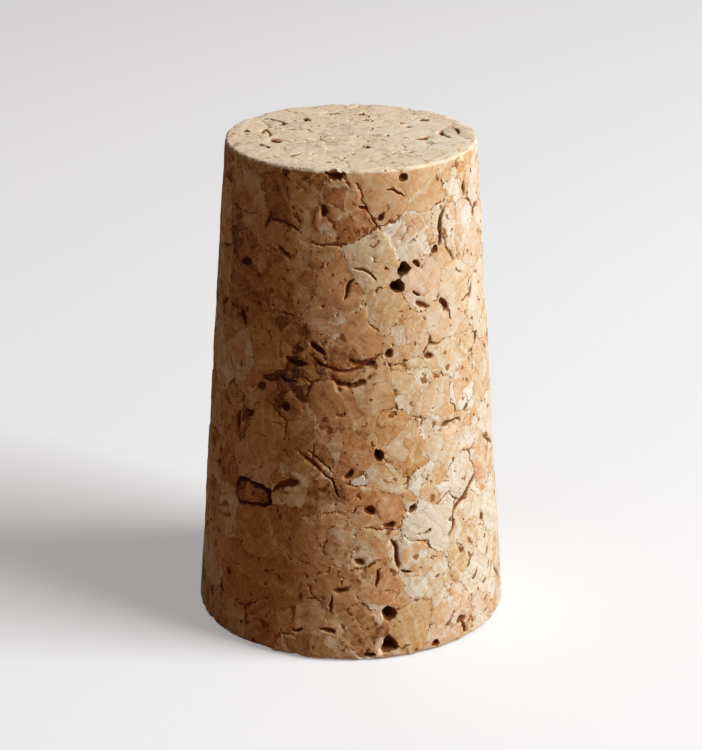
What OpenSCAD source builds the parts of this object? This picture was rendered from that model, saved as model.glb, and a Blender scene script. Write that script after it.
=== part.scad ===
// Tapered stopper of bonded cork granules, standing on its large end.
// Z runs up the axis from the middle of the large end. Bearings are counted from
// the front (-Y), growing towards the right (+X).

/* [Stopper] */
// Diameter of the large end
large_d = 32; // [24:0.5:60]
// Diameter of the small end
small_d = 25; // [16:0.5:50]
// Length from end to end
length = 50; // [30:1:80]
// Radius worn on the edge of the large end
large_edge_r = 0.5; // [0.2:0.1:1.5]
// Radius worn on the edge of the small end
small_edge_r = 0.4; // [0.2:0.1:1.5]

/* [Granules] */
// Usual width of a granule, from joint to joint
granule_w = 4.8; // [3.5:0.1:8]
// How far a granule strays from its even place, as a share of its width
granule_stray = 0.3; // [0:0.02:0.4]
// Share of the places with no granule, so that the ones around are larger
missing_share = 0.1; // [0:0.05:0.3]
// Share of the places with two small granules
split_share = 0.35; // [0:0.05:0.6]
// Number that the chance places start from
granule_seed = 19; // [1:1:99]

/* [Open corners] */
// Share of the granules with an open corner, where they don't quite meet
open_share = 0.5; // [0.05:0.05:0.9]
// Least reach of an open corner along each joint
reach_min = 0.4; // [0.3:0.1:0.9]
// Greatest reach of an open corner along each joint
reach_max = 1.5; // [1:0.1:4]
// Least half width of an open corner
waist_min = 0.25; // [0.1:0.05:0.3]
// Greatest half width of an open corner
waist_max = 0.55; // [0.3:0.05:1]

/* [Cracks] */
// Share of the granules with a crack along one of their joints
crack_share = 0.45; // [0.05:0.05:0.9]
// Least width of a crack
crack_w_min = 0.3; // [0.2:0.05:0.4]
// Greatest width of a crack
crack_w_max = 0.6; // [0.4:0.05:1]
// Least depth of a crack
crack_depth_min = 0.4; // [0.3:0.05:0.5]
// Greatest depth of a crack
crack_depth_max = 0.7; // [0.5:0.05:1.5]

/* [Loose granules] */
// Greatest width of a granule that can work loose
loose_w = 3.6; // [2:0.1:5]
// Share of those that have fallen out, each leaving its socket
lost_share = 0.1; // [0:0.02:0.3]
// Share of those that stand in an open joint
loose_share = 0.2; // [0:0.02:0.4]
// Width of the open joint around a loose granule
loose_gap = 0.35; // [0.2:0.05:0.6]

/* [Pits] */
// Least depth of a pit
depth_min = 0.7; // [0.5:0.1:1.1]
// Greatest depth of a pit
depth_max = 1.9; // [1.2:0.1:4]
// Least cork left between two pits or cracks
pit_web = 0.5; // [0.4:0.1:3]
// Least distance from a pit's spine to the edge of an end
edge_gap = 1.2; // [0.5:0.1:3]
// Radius kept whole at the middle of each end
whole_r = 5.5; // [4:0.5:7]

// Bearing, each way from the front, up to which only the placed pits and cracks stand
placed_bearing = 64; // [0:1:90]

/* [Front pit] */
// Bearing of the round pit on the front
front_bearing = 11; // [-180:1:180]
// Height of its middle
front_z = 21.7; // [4:0.1:26]
// Width across
front_w = 1; // [0.6:0.1:3]
// Depth below the skin
front_depth = 1.6; // [0.8:0.1:4]

/* [Shoulder pits] */
// Bearing of the pair of pits near the small end
shoulder_bearing = 21; // [-180:1:180]
// Height of the middle of the pair
shoulder_z = 39.4; // [20:0.1:46]
// Slope of the joint that they lie on, up from level
shoulder_slope = 66; // [0:1:180]
// Distance between the two pits
shoulder_pitch = 1.8; // [1.5:0.1:4]
// Width of each pit
shoulder_w = 1.1; // [0.6:0.1:1.6]
// Depth of each pit
shoulder_depth = 1.6; // [0.8:0.1:4]

/* [Ringed granule] */
// Bearing of the loose granule on the flank
ringed_bearing = -41; // [-180:1:180]
// Height of its middle
ringed_z = 16.1; // [6:0.1:24]
// Width round the stopper, with the open joint
ringed_w = 5; // [2:0.1:6]
// Width up the stopper, with the open joint
ringed_h = 2.4; // [2:0.1:4]
// Depth of the open joint round it
ringed_depth = 1.1; // [0.6:0.1:3]

/* [Foot chips] */
// Bearing of the two chips above the large end
foot_bearing = 14; // [-180:1:180]
// Height of the lower chip
foot_z = 1.6; // [1:0.1:3]
// Distance from the lower chip to the upper one
foot_pitch = 3.3; // [2.6:0.1:6]
// Width of each chip
foot_w = 1.3; // [0.8:0.1:2.4]
// Depth of each chip
foot_depth = 1.3; // [0.6:0.1:3]

/* [Pit in the small end] */
// Bearing of the pit
end_bearing = 18; // [-180:1:180]
// Distance of the pit from the axis
end_r = 4.2; // [3:0.1:7]
// Width across
end_w = 0.9; // [0.6:0.1:2]
// Depth below the end
end_depth = 1.5; // [0.8:0.1:4]

/* [Hidden] */

$fn = 96;
// Steps in the arc of each worn edge
EDGE_STEPS = 4;
// How far a cut runs out past the skin
CUT_OVER = 1;
// Share of a granule's width between the middle of its place and each half of a pair
PAIR_SHARE = 0.27;
// Longest part of a joint that an open corner may take
JOINT_SHARE = 0.8;
// Reach of a placed pit along its joints, as a share of its width
PLACED_SHARE = 0.65;
// Distance from a placed joint to the chance granules, as a share of their width
CLEAR_SHARE = 0.95;
// Granules beside each placed joint
PLACED_GRANULES = 4;
// Granules round the ringed one, and how far they stray, as a share of their distance
RINGING_GRANULES = 6;
RINGING_STRAY = 0.12;

// Share of a joint that a crack runs along
CRACK_SHARE = 0.8;
// Parts that a crack is bent in
CRACK_STEPS = 4;
// Share of its width that a crack keeps beside its ends
CRACK_TAPER = 0.7;

// ---- Cracks at places of their own ----
// On the side: [bearing, height, slope, length, width, depth, how far it bows up]
SIDE_CRACKS = [
    // Near the small end
    [-12, 46, 95, 1.6, 0.5, 0.6, 0],
    [60, 46.5, 80, 1.8, 0.6, 0.5, 0],
    [43, 43.6, 74, 4.4, 0.4, 0.5, 0.15],
    [-38, 44.5, 60, 2.2, 0.4, 0.5, 0],
    [-30, 41.5, -35, 2.6, 0.4, 0.5, 0],
    [-50, 39.7, 15, 1.7, 0.8, 0.7, 0],
    // Upper half
    [31, 36.2, -35, 2.2, 0.35, 0.45, 0],
    [42, 35.7, -65, 1.8, 0.5, 0.7, 0],
    [61, 35.9, 55, 1.8, 0.4, 0.5, 0],
    [-51, 34, -70, 1.9, 0.5, 0.6, 0],
    [-13, 32.5, -42, 2.2, 0.6, 0.7, 0],
    [0, 30.2, 0, 5.4, 0.45, 0.5, -1.5],
    [4, 32.1, 5, 3.4, 0.4, 0.45, -1.1],
    [-22, 31.1, -18, 2.4, 0.6, 0.6, -0.2],
    [15, 31.9, 75, 0.9, 0.6, 0.7, 0],
    [34, 31, -30, 1.1, 0.6, 0.6, 0],
    // Middle
    [-39, 27.5, 30, 1.2, 0.6, 0.6, 0],
    [-26, 26.2, 10, 0.9, 0.7, 0.8, 0],
    [41, 23.7, 40, 1.3, 0.5, 0.5, 0],
    [54, 24.5, 35, 1.4, 0.4, 0.5, 0],
    [-50, 23.2, 82, 2.8, 0.5, 0.5, 0.3],
    [-16, 20.7, -41, 4.4, 0.35, 0.45, 0.2],
    [-1, 19.7, 55, 1.3, 0.5, 0.6, 0],
    // Lower half
    [-24, 18.3, 28, 1.6, 0.5, 0.6, 0],
    [7, 16, -20, 1.4, 0.6, 0.8, 0],
    [24, 15.6, 50, 1.1, 0.6, 0.8, 0],
    [15, 14.6, 5, 1.5, 0.5, 0.7, -0.2],
    [51, 15.6, 36, 5.6, 0.45, 0.6, 0.1],
    [17, 11.2, -80, 3.8, 0.4, 0.55, 0.3],
    [3, 10.6, -30, 1.2, 0.6, 0.5, 0],
    [-4, 7.6, 8, 1.8, 0.5, 0.5, 0],
    [45, 2, 10, 1.6, 0.6, 0.6, 0.3]
];
// On the small end, likewise, with the distance from the axis for the height
END_CRACKS = [
    [-122, 8.4, -30, 1.5, 0.5, 0.6, 0],
    [-111, 6.6, -60, 1.6, 0.5, 0.6, 0],
    [-76, 7.7, 12, 2, 0.7, 0.6, 0],
    [129, 9.4, -5, 1.7, 0.6, 0.6, 0],
    [43, 8.1, -10, 1.4, 0.6, 0.6, 0],
    [-167, 8.8, -5, 2.2, 0.45, 0.5, 0],
    [94, 9.4, 4, 3.6, 0.4, 0.5, 0.4]
];

side_rise = (large_d - small_d) / 2;
// How far the side leans in from upright
lean = atan2(side_rise, length);
// Granules further apart than this share no joint
joint_range = 3.5 * granule_w;

// ---- Chance ----

// A number from 0 to 1, always the same for place n and purpose k
function chance(n, k) =
    let (x = 43758.5453 * sin(127.137 * n + 311.7 * k + 74.71 * granule_seed))
    x - floor(x);

// A number from -1 to 1, likewise
function stray(n, k) = 2 * chance(n, k) - 1;

// A size from low to high, more often near low
function mostly_low(low, high, n, k) = low + (high - low) * pow(chance(n, k), 2);

// ---- Places on the skin ----

function at_angle(a, r) = r * [cos(a), sin(a)];

function side_r(z) = large_d / 2 - side_rise * z / length;

// A place is [point, tilt, bearing]. rotate([tilt, 0, bearing]) turns X across the
// skin, Y along it and Z out of it.
function on_side(bearing, z) =
    [[side_r(z) * sin(bearing), -side_r(z) * cos(bearing), z], 90 - lean, bearing];

function on_end(bearing, r, z) =
    [[r * sin(bearing), -r * cos(bearing), z], z > 0 ? 0 : 180, bearing];

function is_on_end(place) = place[1] == 0 || place[1] == 180;

function across(place) = [cos(place[2]), sin(place[2]), 0];

function along(place) =
    let (tilt = place[1], b = place[2])
    [-sin(b) * cos(tilt), cos(b) * cos(tilt), sin(tilt)];

// The place at v on the flat plane of another
function beside(place, v) =
    [place[0] + across(place) * v[0] + along(place) * v[1], place[1], place[2]];

// The same, brought back onto the round side
function settled(place, v) =
    let (p = beside(place, v)[0])
    is_on_end(place) ? beside(place, v) : on_side(atan2(p[0], -p[1]), p[2]);

// ---- Placed joints: [place of the middle, slope, span, pit width, pit depth] ----
// A joint with a span has a pit at both ends, and one without has a single pit.

placed = [
    [on_side(front_bearing, front_z), 0, 0, front_w, front_depth],
    [on_side(shoulder_bearing, shoulder_z), shoulder_slope, shoulder_pitch, shoulder_w,
        shoulder_depth],
    [on_side(foot_bearing, foot_z + foot_pitch / 2), 90, foot_pitch, foot_w, foot_depth],
    [on_end(end_bearing, end_r, length), 0, 0, end_w, end_depth]
];

// The two granules beside a placed joint and the two past its ends
function placed_granules(joint) =
    let (
        aside = granule_w / 2,
        past = joint[2] / 2 + norm([aside, joint[2] / 2])
    )
    [for (v = [[0, aside], [0, -aside], [past, 0], [-past, 0]])
        beside(joint[0], at_angle(joint[1], v[0]) + at_angle(joint[1] + 90, v[1]))];

ringed = on_side(ringed_bearing, ringed_z);

// The ringed granule and those that stand round it
function ringed_granules() =
    [ringed, for (k = [1 : RINGING_GRANULES])
        let (
            turn = k + 0.5 + RINGING_STRAY * stray(k, 20),
            way = at_angle(360 / RINGING_GRANULES * turn, 1 + RINGING_STRAY * stray(k, 21))
        )
        beside(ringed, [ringed_w * way[0], ringed_h * way[1]])];

// Whether a place is as far as the chance granules stay from the placed ones
function clear_of_placed(place) =
    min(norm(place[0] - ringed[0]), min([for (joint = placed)
        norm(place[0] - joint[0][0]) - joint[2] / 2])) > CLEAR_SHARE * granule_w;

// ---- Granules: the place of the middle of each ----

// None, one or two granules for place n
function packed(place, n) =
    let (v = at_angle(180 * chance(n, 3), PAIR_SHARE * granule_w))
    chance(n, 0) < missing_share ? []
        : chance(n, 0) > 1 - split_share ? [beside(place, v), beside(place, -v)]
        : [place];

function side_granules() =
    let (rows = round(length / granule_w))
    [for (row = [0 : rows - 1])
        let (
            z = (row + 0.5) * length / rows,
            count = round(2 * PI * side_r(z) / granule_w)
        )
        for (c = [0 : count - 1])
            let (n = 100 * row + c)
            each packed(on_side(
                360 * (c + (row % 2) / 2 + granule_stray * stray(n, 1)) / count,
                z + granule_stray * granule_w * stray(n, 2)), n)];

function end_granules(edge_r, z, first) =
    let (rings = round(edge_r / granule_w))
    [for (ring = [0 : rings - 1])
        let (
            r = (ring + 0.5) * edge_r / rings,
            count = round(2 * PI * r / granule_w)
        )
        for (c = [0 : count - 1])
            let (n = first + 100 * ring + c)
            each packed(on_end(
                360 * (c + granule_stray * stray(n, 1)) / count,
                r + granule_stray * granule_w * stray(n, 2), z), n)];

placed_all = concat([for (joint = placed) each placed_granules(joint)], ringed_granules());

granules = concat(placed_all,
    [for (place = concat(
        side_granules(),
        end_granules(large_d / 2, 0, 4000),
        end_granules(small_d / 2, length, 5000)))
        if (clear_of_placed(place)) place]);

// ---- Outline of a granule: a wide square, cut back half way to each other one ----

// What is left of a loop on the near side of the line where v * x = c
function cut_back(loop, v, c) =
    [for (k = [0 : len(loop) - 1])
        let (
            p = loop[k],
            q = loop[(k + 1) % len(loop)],
            p_in = c - v * p,
            q_in = c - v * q
        )
        each concat(
            p_in >= 0 ? [p] : [],
            p_in * q_in < 0 ? [p + (q - p) * p_in / (p_in - q_in)] : [])];

function cut_by_all(loop, ways, k = 0) =
    k == len(ways) ? loop
        : cut_by_all(cut_back(loop, ways[k][0], ways[k][1]), ways, k + 1);

function outline(i) =
    let (
        place = granules[i],
        s = joint_range / 2,
        ways = [for (other = granules)
            let (d = other[0] - place[0])
            if (norm(d) > 0 && norm(d) < joint_range)
                [[d * across(place), d * along(place)], d * d / 2]]
    )
    cut_by_all([[-s, -s], [s, -s], [s, s], [-s, s]], ways);

// ---- Pits: [place, loop, loop of what still stands inside it, depth, spine] ----
// The spine is a line of points through the pit. A round pit's is its middle alone.

function direction(v) = atan2(v[1], v[0]);

// The turn from direction a to direction b, from 0 to 360
function turn(a, b) = ((b - a) % 360 + 360) % 360;

function middle(loop) = [for (p = loop) 1] * loop / len(loop);

// Each point of a loop moved towards its middle
function shrunk(loop, by) =
    let (m = middle(loop))
    [for (p = loop) p - (p - m) * min(1, by / norm(p - m))];

// Side of the square that covers as much
function width(loop) =
    let (n = len(loop))
    sqrt([for (p = loop) 1] * [for (k = [0 : n - 1]) cross(loop[k], loop[(k + 1) % n])] / 2);

// A pit at corner k of a granule's outline. It reaches out along the three joints
// that meet there, and between them the granules stand in to its waist.
function corner_pit(place, outline, k, reach, waist, depth) =
    let (
        sides = len(outline),
        v = outline[k],
        next = outline[(k + 1) % sides] - v,
        last = outline[(k + sides - 1) % sides] - v,
        away = direction(v),
        joints = [away, away + turn(away, direction(next)), away + turn(away, direction(last))],
        reaches = [reach[0], min(reach[1], JOINT_SHARE * norm(next)),
            min(reach[2], JOINT_SHARE * norm(last))]
    )
    [settled(place, v),
        [for (j = [0 : 2])
            let (between = (joints[j] + joints[(j + 1) % 3] + (j == 2 ? 360 : 0)) / 2)
            each [at_angle(joints[j], max(reaches[j], waist)), at_angle(between, waist)]],
        [], depth, [[0, 0]]];

// A crack at a place: drawn out along its slope, and bowed
function crack(place, slope, length, width, depth, bow) =
    let (
        runs = [for (k = [-CRACK_STEPS / 2 : CRACK_STEPS / 2]) 2 * k / CRACK_STEPS],
        ends = [for (run = runs)
            at_angle(slope, run * length / 2) + at_angle(slope + 90, bow * (1 - run * run))],
        aside = at_angle(slope + 90, width / 2),
        last = CRACK_STEPS
    )
    [place, concat(
        [for (k = [0 : last]) ends[k] - aside * crack_taper(k, last)],
        [for (k = [last - 1 : -1 : 1]) ends[k] + aside * crack_taper(k, last)]),
        [], depth, ends];

// Share of its width that a crack has at step k
function crack_taper(k, last) =
    k == 0 || k == last ? 0 : k == 1 || k == last - 1 ? CRACK_TAPER : 1;

function nearest_corner(outline, v) =
    let (far = [for (corner = outline) norm(corner - v)])
    search(min(far), far)[0];

// The pits at the ends of placed joint m, read from the first granule beside it
function placed_pits(m) =
    let (
        joint = placed[m],
        w = joint[3],
        i = PLACED_GRANULES * m,
        sides = outline(i),
        v = at_angle(joint[1] + 90, -granule_w / 2)
    )
    [for (end = joint[2] > 0 ? [-0.5, 0.5] : [0])
        corner_pit(granules[i], sides,
            nearest_corner(sides, v + at_angle(joint[1], end * joint[2])),
            PLACED_SHARE * w * [1, 1, 1], w / 2, joint[4])];

function socket(i, depth) =
    [settled(granules[i], [0, 0]), shrunk(outline(i), loose_gap), [], depth, [[0, 0]]];

function open_ring(i, depth) =
    [settled(granules[i], [0, 0]), outline(i), shrunk(outline(i), loose_gap), depth, [[0, 0]]];

// A crack along one joint of granule i, or nothing
function chance_cracks(i) =
    let (
        sides = outline(i),
        k = floor(chance(i, 14) * len(sides)),
        from = sides[k],
        way = sides[(k + 1) % len(sides)] - from
    )
    chance(i, 13) > crack_share || norm(way) < granule_w / 3 ? []
        : [crack(settled(granules[i], from + way / 2), direction(way),
            CRACK_SHARE * norm(way),
            mostly_low(crack_w_min, crack_w_max, i, 15),
            mostly_low(crack_depth_min, crack_depth_max, i, 16), 0)];

// What chance makes of granule i: an empty socket, an open joint round it, an open
// corner or nothing. Only granules on the round side work loose.
function chance_pits(i) =
    let (
        sides = outline(i),
        depth = mostly_low(depth_min, depth_max, i, 5),
        luck = width(sides) < loose_w && !is_on_end(granules[i]) ? chance(i, 6) : 1
    )
    luck < lost_share ? [socket(i, depth)]
        : luck < lost_share + loose_share ? [open_ring(i, depth)]
        : chance(i, 7) < open_share ? [
            corner_pit(granules[i], sides, floor(chance(i, 8) * len(sides)),
                [for (k = [9 : 11]) mostly_low(reach_min, reach_max, i, k)],
                mostly_low(waist_min, waist_max, i, 12), depth)]
        : [];

function spine(pit) = [for (s = pit[4]) beside(pit[0], s)[0]];

// Whether a pit keeps off the edges and the middles of the ends
function well_placed(pit) =
    let (
        z = [for (p = spine(pit)) p[2]],
        r = [for (p = spine(pit)) norm([p[0], p[1]])]
    )
    is_on_end(pit[0])
        ? min(r) > whole_r && max(r) < side_r(z[0]) - edge_gap
        : min(z) > edge_gap && max(z) < length - edge_gap;

fixed_pits = concat(
    [for (m = [0 : len(placed) - 1]) each placed_pits(m)],
    [open_ring(PLACED_GRANULES * len(placed), ringed_depth)]);

placed_cracks = concat(
    [for (c = SIDE_CRACKS) crack(on_side(c[0], c[1]), c[2], c[3], c[4], c[5], c[6])],
    [for (c = END_CRACKS) crack(on_end(c[0], c[1], length), c[2], c[3], c[4], c[5], c[6])]);

// The granules that chance may open, past the bearings of the placed pits
chance_granules =
    [for (i = [len(placed_all) : len(granules) - 1])
        if (is_on_end(granules[i]) || abs(turn(180, granules[i][2]) - 180) > placed_bearing) i];

// In the order in which they are kept: the placed ones, the pits and the cracks
wished_pits =
    [for (pit = concat(placed_cracks,
        [for (i = chance_granules) each chance_pits(i)],
        [for (i = chance_granules) each chance_cracks(i)]))
        if (well_placed(pit)) pit];

// How far a pit reaches from its spine, across the skin and, if deep, below it
function pit_reach(pit, deep) =
    let (across = max([for (v = pit[1]) min([for (s = pit[4]) norm(v - s)])]))
    deep ? norm([across, pit[3]]) : across;

// Half the length of a pit's spine
function half_run(pit) = max([for (s = pit[4]) norm(s)]);

// Whether enough cork stands between two pits. On different faces of the stopper
// they could meet below the skin.
function apart(a, b) =
    let (
        deep = a[0][1] != b[0][1],
        room = pit_reach(a, deep) + pit_reach(b, deep) + pit_web
    )
    norm(a[0][0] - b[0][0]) > room + half_run(a) + half_run(b)
        || min([for (p = spine(a)) for (q = spine(b)) norm(p - q)]) > room;

// The pits from number i on that stand apart from those already kept
function kept_pits(kept, i = 0) =
    i == len(wished_pits) ? kept
        : kept_pits(min([for (pit = kept) apart(pit, wished_pits[i]) ? 1 : 0]) == 1
            ? concat(kept, [wished_pits[i]]) : kept, i + 1);

pits = kept_pits(fixed_pits);

// ---- Solids ----

function arc(middle, r, from, to) =
    [for (k = [0 : EDGE_STEPS]) middle + at_angle(from + (to - from) * k / EDGE_STEPS, r)];

// Middle of the arc that rounds an edge, at height z and r inside the side
function edge_middle(z, r) = [side_r(z) - r / cos(lean), z];

module blank() {
    rotate_extrude()
        polygon(concat(
            [[0, 0]],
            arc(edge_middle(large_edge_r, large_edge_r), large_edge_r, -90, lean),
            arc(edge_middle(length - small_edge_r, small_edge_r), small_edge_r, lean, 90),
            [[0, length]]));
}

module pit_cut(pit) {
    place = pit[0];
    translate(place[0])
        rotate([place[1], 0, place[2]])
            translate([0, 0, -pit[3]])
                linear_extrude(pit[3] + CUT_OVER)
                    difference() {
                        polygon(pit[1]);
                        if (len(pit[2]) > 0) polygon(pit[2]);
                    }
}

module stopper() {
    color("burlywood")
        difference() {
            blank();
            for (pit = pits) pit_cut(pit);
        }
}

stopper();
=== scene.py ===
"""A tapered stopper of bonded cork granules, dressed for a studio picture.

The skin is turned as a blank, sorted into granules and then cut down by Geometry
Nodes: each granule stands a little differently, the joints between them gape here
and there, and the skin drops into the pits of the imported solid. The cork material
follows the same granules, so the colours change where the surface does.
"""

import math
from collections import Counter
from functools import partial, partialmethod, reduce
from itertools import starmap
from operator import add
from typing import NamedTuple

import bmesh
import bpy
import numpy as np
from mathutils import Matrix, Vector


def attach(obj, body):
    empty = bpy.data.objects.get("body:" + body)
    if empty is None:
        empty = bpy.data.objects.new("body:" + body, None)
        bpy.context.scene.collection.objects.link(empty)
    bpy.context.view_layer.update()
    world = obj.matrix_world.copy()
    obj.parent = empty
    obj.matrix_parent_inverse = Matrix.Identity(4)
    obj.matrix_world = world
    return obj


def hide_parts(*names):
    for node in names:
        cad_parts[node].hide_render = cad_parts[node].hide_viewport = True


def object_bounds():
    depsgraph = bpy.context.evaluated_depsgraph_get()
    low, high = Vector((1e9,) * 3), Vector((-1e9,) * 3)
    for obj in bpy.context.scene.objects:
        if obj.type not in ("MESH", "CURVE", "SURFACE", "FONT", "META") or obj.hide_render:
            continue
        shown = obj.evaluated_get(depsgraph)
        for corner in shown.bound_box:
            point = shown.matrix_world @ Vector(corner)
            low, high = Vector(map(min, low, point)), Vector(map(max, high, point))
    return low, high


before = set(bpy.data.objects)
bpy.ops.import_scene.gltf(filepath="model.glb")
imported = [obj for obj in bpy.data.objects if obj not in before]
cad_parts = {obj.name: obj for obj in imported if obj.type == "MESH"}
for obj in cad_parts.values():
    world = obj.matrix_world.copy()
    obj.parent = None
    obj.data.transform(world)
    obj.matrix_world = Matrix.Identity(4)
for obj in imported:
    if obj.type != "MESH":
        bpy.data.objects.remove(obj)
CAD_BOX = [list(corner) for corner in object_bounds()]

bl_info = {
    "name": "Cork stopper",
    "version": (1, 0, 0),
    "blender": (4, 5, 0),
    "location": "View3D > Sidebar > Cork",
    "description": "Builds a tapered stopper of bonded cork granules and its studio",
    "category": "Object",
}

MM = 0.001
PIECE = "cork_stopper"
SOLID = "stopper"
# Granules whose places each point of the skin knows
NEAREST = 4
GRANULE_NAMES = [f"granule_{k + 1}" for k in range(NEAREST)]
TINT_NAMES = ("granule_pale", "granule_ruddy", "granule_whole")


# ---- Sizes and colours that a user would change ----


def srgb(red, green, blue):
    """A colour of 0 to 255 values in Blender's linear light."""
    return tuple(
        v / 12.92 if v <= 0.04045 else ((v + 0.055) / 1.055) ** 2.4
        for v in (red / 255, green / 255, blue / 255)
    )


def number_prop(text, default, **more):
    return bpy.props.FloatProperty(description=text, default=default, **more)


def length_prop(text, default):
    return number_prop(text, default, min=0.0, unit="LENGTH", precision=5)


def share_prop(text, default):
    return number_prop(text, default, min=0.0, max=1.0, subtype="FACTOR")


def angle_prop(text, degrees):
    return number_prop(text, math.radians(degrees), subtype="ANGLE")


def count_prop(text, default):
    return bpy.props.IntProperty(description=text, default=default, min=1)


def colour_prop(text, default):
    colour = {"default": srgb(*default), "subtype": "COLOR", "min": 0.0, "max": 1.0}
    return bpy.props.FloatVectorProperty(description=text, **colour)


def label(identifier):
    """What a user sees for a property or an input of a tree."""
    return identifier.replace("_", " ").capitalize()


def labelled_values(*groups):
    """The values of property groups, by their labels."""
    return {label(key): getattr(g, key) for g in groups for key in type(g).__annotations__}


class BlankSizes(bpy.types.PropertyGroup):
    """The turned blank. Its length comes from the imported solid."""

    large_end: length_prop("Diameter of the large end", 32 * MM)
    small_end: length_prop("Diameter of the small end", 25 * MM)
    length: length_prop("Length from end to end", CAD_BOX[1][2] - CAD_BOX[0][2])
    large_edge: length_prop("Radius worn on the large end's edge", 0.5 * MM)
    small_edge: length_prop("Radius worn on the small end's edge", 0.4 * MM)
    columns: count_prop("Faces round the blank", 660)
    rows: count_prop("Faces from the middle of one end to the other", 520)
    triangles: count_prop("Most triangles in the finished skin", 196000)


class GranuleSizes(bpy.types.PropertyGroup):
    """How the cork granules are packed."""

    width: length_prop("Usual width of a granule, joint to joint", 4.8 * MM)
    stray: share_prop("How far a granule strays, as a share of its width", 0.3)
    missing: share_prop("Share of the places with no granule", 0.1)
    split: share_prop("Share of the places with two small granules", 0.35)
    clear: share_prop("Room round a placed joint, as a share of the width", 0.95)
    pair: share_prop("Reach of each of a pair, as a share of the width", 0.27)
    # Painted light: granules get paler toward the right, the side of the key lamp
    drift: share_prop("How much paler the granules get toward the right", 0.46)
    variety: share_prop("How much granules differ by chance in paleness", 0.42)
    seed: count_prop("Number that the chance places start from", 19)


class ReliefSizes(bpy.types.PropertyGroup):
    """How far the skin goes down from the turned blank."""

    joint_width: length_prop("Half width of a joint that gapes", 0.18 * MM)
    joint_depth: length_prop("Depth of a joint that gapes", 0.2 * MM)
    step: length_prop("Most that a granule stands below the blank", 0.07 * MM)
    tilt: share_prop("Most that a granule slopes, as rise over run", 0.03)
    streak_depth: length_prop("Depth of the drawn-out pores", 0.2 * MM)
    pore_depth: length_prop("Depth of the round pores", 0.3 * MM)
    grain: length_prop("Height of the fine unevenness", 0.05 * MM)
    rim_wear: length_prop("Most that is worn off the rims", 0.18 * MM)
    crumbled: share_prop("Share of the granules that are slivers", 0.65)


class CorkColours(bpy.types.PropertyGroup):
    """The colours of the granules, from the darkest to the palest."""

    bark: colour_prop("Granules from next to the bark", (100, 57, 25))
    ruddy: colour_prop("Ruddy brown granules", (168, 116, 72))
    ochre: colour_prop("Ochre granules", (200, 154, 105))
    tan: colour_prop("Tan granules", (215, 183, 143))
    # Pale and cream are also the painted light of the right flank, where the granules are pushed
    # toward them
    pale: colour_prop("Pale tan granules", (222, 209, 186))
    cream: colour_prop("Cream granules", (231, 225, 212))
    red_tint: colour_prop("What the ruddiest granules are dyed by", (255, 241, 230))
    green_tint: colour_prop("What the greenest are dyed by", (253, 250, 230))
    joint: colour_prop("What open joints and pores are dyed by", (136, 88, 52))
    # Deep in pits and crevices: their dark lining, and painted shade
    hollow: colour_prop("Cork at the bottom of the pits", (72, 34, 11))
    sawn: colour_prop("Dust in the sawn and sanded ends", (243, 231, 208))
    torn: colour_prop("Cork that was torn a short time ago", (242, 212, 180))


class PlacedJoint(NamedTuple):
    """A joint between granules. Bearing and slope in degrees, lengths in mm."""

    bearing: float
    along: float
    slope: float
    span: float
    small_end: bool = False


# Along is the height on the side, or the distance from the axis on the small end
PLACED_JOINTS = (
    PlacedJoint(11, 21.7, 0, 0),
    PlacedJoint(21, 39.4, 66, 1.8),
    PlacedJoint(14, 3.25, 90, 3.3),
    PlacedJoint(18, 4.2, 0, 0, small_end=True),
)
RINGED_BEARING = -41
RINGED_HEIGHT = 16.1 * MM
RINGED_WIDTH = 5 * MM
RINGED_HIGH = 2.4 * MM
RINGING_GRANULES = 6
RINGING_STRAY = 0.12


# ---- Where the granules are ----

# Odd numbers that scatter the places well
BY_NUMBER, BY_PURPOSE, BY_SEED, SCATTER = 127.137, 311.7, 74.71, 43758.5453
# Room for the numbers of one row, and the first numbers of the rest
ROW, LARGE_END_FIRST, SMALL_END_FIRST, MARKS_FIRST = 100, 4000, 5000, 6000


class Purpose:
    """What a chance number is drawn for."""

    PACKED, TURN, OFF, PAIR_TURN = range(4)
    RINGING_TURN, RINGING_FAR = 20, 21
    PALE, RUDDY = 40, 41


def chance(seed, number, purpose):
    """From 0 to 1, always the same for one place and purpose."""
    turned = math.radians(BY_NUMBER * number + BY_PURPOSE * purpose + BY_SEED * seed)
    x = SCATTER * math.sin(turned)
    return x - math.floor(x)


def stray(seed, number, purpose):
    return 2 * chance(seed, number, purpose) - 1


class Place(NamedTuple):
    """A point of the skin, with the directions across and along the skin there."""

    point: Vector
    across: Vector
    along: Vector

    def beside(self, v):
        return self._replace(point=self.point + self.across * v[0] + self.along * v[1])


def at_angle(degrees, r):
    a = math.radians(degrees)
    return (r * math.cos(a), r * math.sin(a))


def place_at(bearing, r, z, tilt):
    b, t = math.radians(bearing), math.radians(tilt)
    return Place(
        Vector((r * math.sin(b), -r * math.cos(b), z)),
        Vector((math.cos(b), math.sin(b), 0)),
        Vector((-math.sin(b) * math.cos(t), math.cos(b) * math.cos(t), math.sin(t))),
    )


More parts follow.
